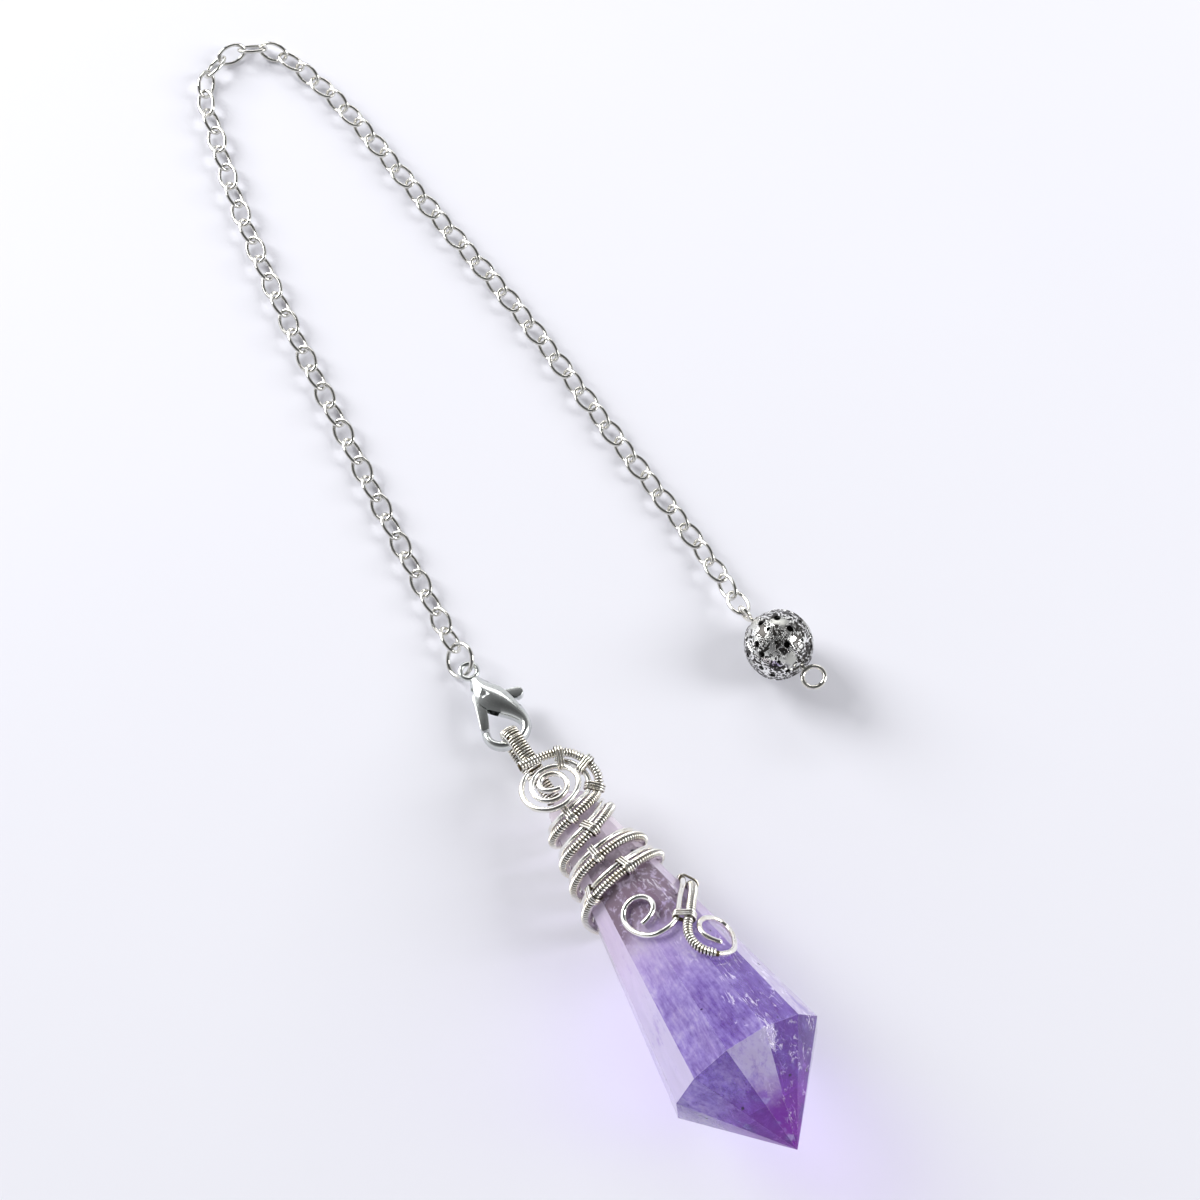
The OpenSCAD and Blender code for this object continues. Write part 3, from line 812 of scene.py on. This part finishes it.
def polished_crystal():
    made = joined_mesh("stone")
    bmesh.ops.dissolve_limit(made, angle_limit=flat_angle, verts=made.verts, edges=made.edges)
    edges = [e for e in made.edges
             if len(e.link_faces) == 2 and e.calc_length() > shortest_edge]
    bmesh.ops.bevel(made, geom=edges, offset=edge_width, segments=2, profile=0.5,
                    affect="EDGES", clamp_overlap=True)
    to_stone = stone_frame.to_3x3().inverted()
    made.normal_update()
    facet_shades = [painted_facet_shade(face, to_stone) for face in made.faces]
    mesh = bpy.data.meshes.new("crystal")
    made.to_mesh(mesh)
    made.free()
    mesh.attributes.new("tone", "FLOAT", "FACE").data.foreach_set(
        "value", np.array(facet_shades, dtype=np.float32))
    print("facets:", sum(tone != edge_glint_mark for tone in facet_shades))
    return mesh


# %% [markdown]
# What lies in the stone. Natural amethyst isn't even: it is pale in the body and deep
# violet at the tip, with streaks that run along the stone, thin white feathers where it
# healed a crack, a brown band near the wire and a few dark specks. They could be painted on
# each facet by hand. Here noise in the stone's own frame, stretched along it, gives each of
# them, and the distance from the girdle says where it belongs. Each facet's painted light
# and shade and the painted highlight on its edges are read in with them.

# %% Patterns in the stone
def stone_place(f):
    """Where a point is in the stone's frame, in millimetres from the girdle's middle."""
    return f.node("ShaderNodeMapping", {"vector_type": "TEXTURE"}, {
        "Vector": f.node("ShaderNodeTexCoord", out="Object"),
        "Location": tuple(stone_frame.translation), "Rotation": tuple(stone_turn),
        "Scale": (MM, MM, MM)})


def pulled_along(f, at, share):
    """The same places, so that noise on them is drawn out along the stone."""
    return f.node("ShaderNodeVectorMath", {"operation": "MULTIPLY"}, {0: at, 1: (share, 1, 1)})


def stone_patterns(f):
    """Each thing that lies in the stone, and the painted facet shade and edge highlight, as a
    strength from 0 to 1 by name.
    """
    at = stone_place(f)
    along = f.node("ShaderNodeSeparateXYZ", None, {0: at})
    across = f.node("ShaderNodeSeparateXYZ", None, {0: at}, out=1)
    tone = f.node("ShaderNodeAttribute", {"attribute_name": "tone"}, out="Fac")

    cloud = f.noise(at, 6, 4, 0.55, 0.4)
    streaks = f.noise(pulled_along(f, at, 0.16), 1.5, 5, 0.65, 0.6)
    threads = f.noise(pulled_along(f, at, 0.07), 0.6, 4, 0.7, 0.3)
    wisps = f.noise(pulled_along(f, at, 0.22), 0.9, 3, 0.5, 0.7)
    fine_mottle = f.noise(at, 0.9, 4, 0.7)
    patches = f.noise(at, 2.2, 2, 0.5)

    tip = (along + 4 * cloud).between(5, 11)
    upward = -1 * along + 6 * cloud
    neck = upward.between(27, 40)
    # Painted shade: facets of middling painted shade are darker towards the girdle.
    girdle = along.between(-24, -4) * (1 - along.between(-0.2, 0.2)) * tone.between(0.12, 0.32)
    # A darker brown band near the wire, on the paler facets only.
    brown = upward.between(22, 26) * (1 - upward.between(34, 40)) * fine_mottle.between(0.32, 0.50)
    ridge = 1 - 26 * (wisps - 0.5).size()
    healed = patches.between(0.50, 0.62) * (across + 4 * cloud).between(0, 4) * (1 - neck)
    deep = tone + 1.0 * (cloud - 0.5) + 0.9 * (streaks - 0.5) + 0.30 * tip
    return {
        "tone": tone, "streaks": streaks, "neck": neck, "warm": upward.between(12, 27),
        "deep": deep + 0.65 * (fine_mottle - 0.5) + 0.95 * (threads - 0.5) + 0.34 * girdle,
        "blush": tip * patches.between(0.33, 0.44), "brown": brown * tone.between(-0.1, 0.2),
        "feathers": 0.75 * ridge.between(0.1, 0.9) * healed,
        # edges: painted highlight on the bevelled edges.
        "edges": 1 - tone.between(-0.3, -0.1),
        "specks": f.noise(at, 1.6, 1, 0.4).between(0.765, 0.785)}


print("tones of the body from", min(body_facet_shades), "to", max(body_facet_shades))

# %% [markdown]
# The stone's finish. Real inclusions could be modelled as bodies inside the glass, but light
# rarely finds them there. Mixing a clouded shader into clear glass, facet by facet, keeps
# them sharp at every angle; the same mix carries each facet's painted light and shade and
# the painted highlight on its edges. To a lamp's shadow the stone is nearly clear, because
# glass alone would lay a black shadow on the table.

# %% Crystal finish
# Colours from the palest places (0) to the deepest (1).
clouded_stops = [(0.0, (0.72, 0.67, 0.83)), (0.32, (0.45, 0.37, 0.68)),
                 (0.58, (0.25, 0.18, 0.46)), (0.82, (0.16, 0.09, 0.33)),
                 (1.0, (0.11, 0.035, 0.24))]
clear_stops = [(0.0, (0.95, 0.93, 0.98)), (0.32, (0.78, 0.70, 0.93)),
               (0.58, (0.58, 0.46, 0.82)), (0.82, (0.42, 0.28, 0.66)),
               (1.0, (0.32, 0.12, 0.50))]
warm_violet = (0.76, 0.61, 0.85)
neck_milk, neck_glass = (0.86, 0.77, 0.83), (0.90, 0.82, 0.90)
blush_milk, blush_glass = (0.23, 0.014, 0.34), (0.45, 0.06, 0.62)
wire_band_brown = (0.16, 0.105, 0.135)
feather_and_edge_glint_white = (0.90, 0.86, 0.98)
speck_black = (0.03, 0.02, 0.05)
shadow_tint = (0.95, 0.93, 0.985)
drunk_colour, drunk_density = (0.56, 0.44, 0.86), 28.0
quartz_bend = 1.5


def crystal_glass():
    f = Finish("crystal")
    lies = stone_patterns(f)
    clear = f.node("ShaderNodeValToRGB", {"stops": clear_stops}, {0: lies["deep"]})
    clear = f.mix(0.7 * lies["neck"], clear, neck_glass)
    clear = f.mix(0.7 * lies["blush"], clear, blush_glass)
    clouded = f.node("ShaderNodeValToRGB", {"stops": clouded_stops}, {0: lies["deep"]})
    clouded = f.mix(0.62 * lies["warm"], clouded, warm_violet)
    clouded = f.mix(0.85 * lies["neck"], clouded, neck_milk)
    clouded = f.mix(0.9 * lies["brown"], clouded, wire_band_brown)
    clouded = f.mix(0.9 * lies["blush"], clouded, blush_milk)
    # White feathers, and a painted highlight on the bevelled edges.
    clouded = f.mix(lies["feathers"].most(lies["edges"]), clouded, feather_and_edge_glint_white)
    clouded = f.mix(lies["specks"], clouded, speck_black)

    glass = f.surface(Base_Color=clear, Roughness=0.025, IOR=quartz_bend,
                      Transmission_Weight=1.0)
    milk = f.surface(Base_Color=clouded, Roughness=0.04, IOR=quartz_bend)
    # Facets with pale painted shade and the painted edge highlights get more of the clouded
    # shader.
    haze = 0.50 + 0.32 * (0.35 - lies["tone"]).most(0) + 0.25 * (lies["streaks"] - 0.5)
    haze = haze + 0.25 * lies["neck"] + 0.4 * lies["feathers"] + 0.3 * lies["brown"]
    haze = (haze + 0.6 * lies["specks"] + 0.4 * lies["edges"]).least(0.93)
    shown = f.node("ShaderNodeMixShader", None, {0: haze, 1: glass, 2: milk})

    lamp_light = f.node("ShaderNodeBsdfTransparent", None, {"Color": shadow_tint})
    shadow = f.node("ShaderNodeLightPath", out="Is Shadow Ray")
    shown = f.node("ShaderNodeMixShader", None, {0: shadow, 1: shown, 2: lamp_light})
    inside = f.node("ShaderNodeVolumeAbsorption", None, {
        "Color": drunk_colour, "Density": drunk_density})
    return f.done(shown, inside)


crystal = place_piece("crystal", polished_crystal(), crystal_glass(), smooth=0)
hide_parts("stone")

# %% [markdown]
# Polished metal. The clasp is bright, so its shape shows mostly through what it reflects,
# and it is worn a little where it is handled. One plain metal shader would look like a
# mirror. Noise moves the gloss and the colour, and the base gloss says how worn a part is.

# %% Polished metal
worn_share = 0.9


def polished_metal(name, colour, dull):
    f = Finish(name)
    at = f.place()
    wear = f.noise(at, 1.8, 4, 0.6)
    scratches = f.noise(at, 0.25, 2)
    worn = tuple(part * worn_share for part in colour)
    shade = f.mix(wear.between(0.45, 0.7), colour, worn)
    rough = dull + 0.06 * wear.between(0.5, 0.8) + 0.03 * scratches
    return f.done(f.surface(Base_Color=shade, Metallic=1.0, Roughness=rough,
                            Normal=f.bump(wear, 0.02 * MM, 0.15)))


clasp_finish = polished_metal("polished_clasp", (0.67, 0.69, 0.68), 0.20)
link_finish = polished_metal("bright_silver", (0.70, 0.69, 0.655), 0.07)
pin_finish = polished_metal("warm_silver", (0.83, 0.81, 0.75), 0.08)
print("polished:", clasp_finish.name, link_finish.name, pin_finish.name)

# %% [markdown]
# The clasp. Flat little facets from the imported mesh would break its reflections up. It
# could be modelled again by hand, but its shape is right already, so only its doubled
# corners are merged and its normals smoothed across all but the real edges.

# %% Clasp
coplanar = math.radians(0.3)


def softened(name, node, body, edge=0.0, angle=40):
    """The node's own shape with merged corners, smooth normals and eased edges."""
    made = joined_mesh(node)
    bmesh.ops.dissolve_limit(made, angle_limit=coplanar, verts=made.verts, edges=made.edges)
    if edge:
        sharp = [e for e in made.edges
                 if len(e.link_faces) == 2 and e.calc_face_angle(0) > math.radians(angle)]
        bmesh.ops.bevel(made, geom=sharp, offset=edge, segments=3, profile=0.5,
                        affect="EDGES", clamp_overlap=True)
    mesh = bpy.data.meshes.new(name)
    made.to_mesh(mesh)
    made.free()
    piece = place_piece(name, mesh, clasp_finish, body, smooth=angle)
    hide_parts(node)


softened("clasp_case", "clasp_body", BODY, angle=62)
softened("clasp_gate", "clasp_lever", "clasp_lever", edge=0.12 * MM, angle=30)

# %% [markdown]
# The rest keeps its imported shape, which is exact already: links, rings, pin and bead.
# They could be replaced too, but they only need their finishes. The bead is old silver: its
# shell is pierced, its inside is painted black as the shade inside the hollow, and a dark
# pattern sits between worn bright leaves.

# %% Links, rings, pin and bead
# The radius of the bead's hollow in millimetres, and how softly its painted shade begins.
bead_hollow, bead_shade = 4.4, 0.35
worn_silver, matte_silver = (0.88, 0.88, 0.86), (0.56, 0.56, 0.53)
tarnish_and_hollow_shade = (0.022, 0.019, 0.017)


def old_silver(centre):
    f = Finish("old_silver")
    at = f.place()
    out = f.node("ShaderNodeVectorMath", {"operation": "DISTANCE"},
                 {0: at, 1: tuple(c / MM for c in centre)}, out="Value")
    # Painted shade: everything within the hollow's radius is painted near black.
    inside = 1 - out.between(bead_hollow, bead_hollow + bead_shade)
    zone = f.noise(at, 3.4, 2, 0.5)
    leaves = f.noise(at, 0.95, 3, 0.6, 1.6)
    pits = f.noise(at, 0.4, 3, 0.6)
    carved = zone.between(0.36, 0.44)
    dark = carved * leaves.between(0.47, 0.50) * 0.98
    dark = dark.most(inside).most(pits.between(0.62, 0.70) * 0.7)
    colour = f.mix(carved, matte_silver, worn_silver)
    colour = f.mix(dark, colour, tarnish_and_hollow_shade)
    rough = 0.34 - 0.22 * carved + 0.10 * pits + 0.15 * dark
    relief = (1 - dark) * 0.8 + 0.3 * pits
    return f.done(f.surface(Base_Color=colour, Metallic=1.0 - 0.2 * dark, Roughness=rough,
                            Normal=f.bump(relief, 0.05 * MM, 0.6)))


low, high = (Vector(corner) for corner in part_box("bead"))
node_finishes = {"jump_ring": link_finish, "chain": link_finish, "eye_pin": pin_finish,
                 "clasp_pin": clasp_finish, "bead": old_silver((low + high) / 2)}
for node, finish in node_finishes.items():
    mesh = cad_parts[node].data
    mesh.materials.clear()
    mesh.materials.append(finish)
    print(node, "wears", finish.name)
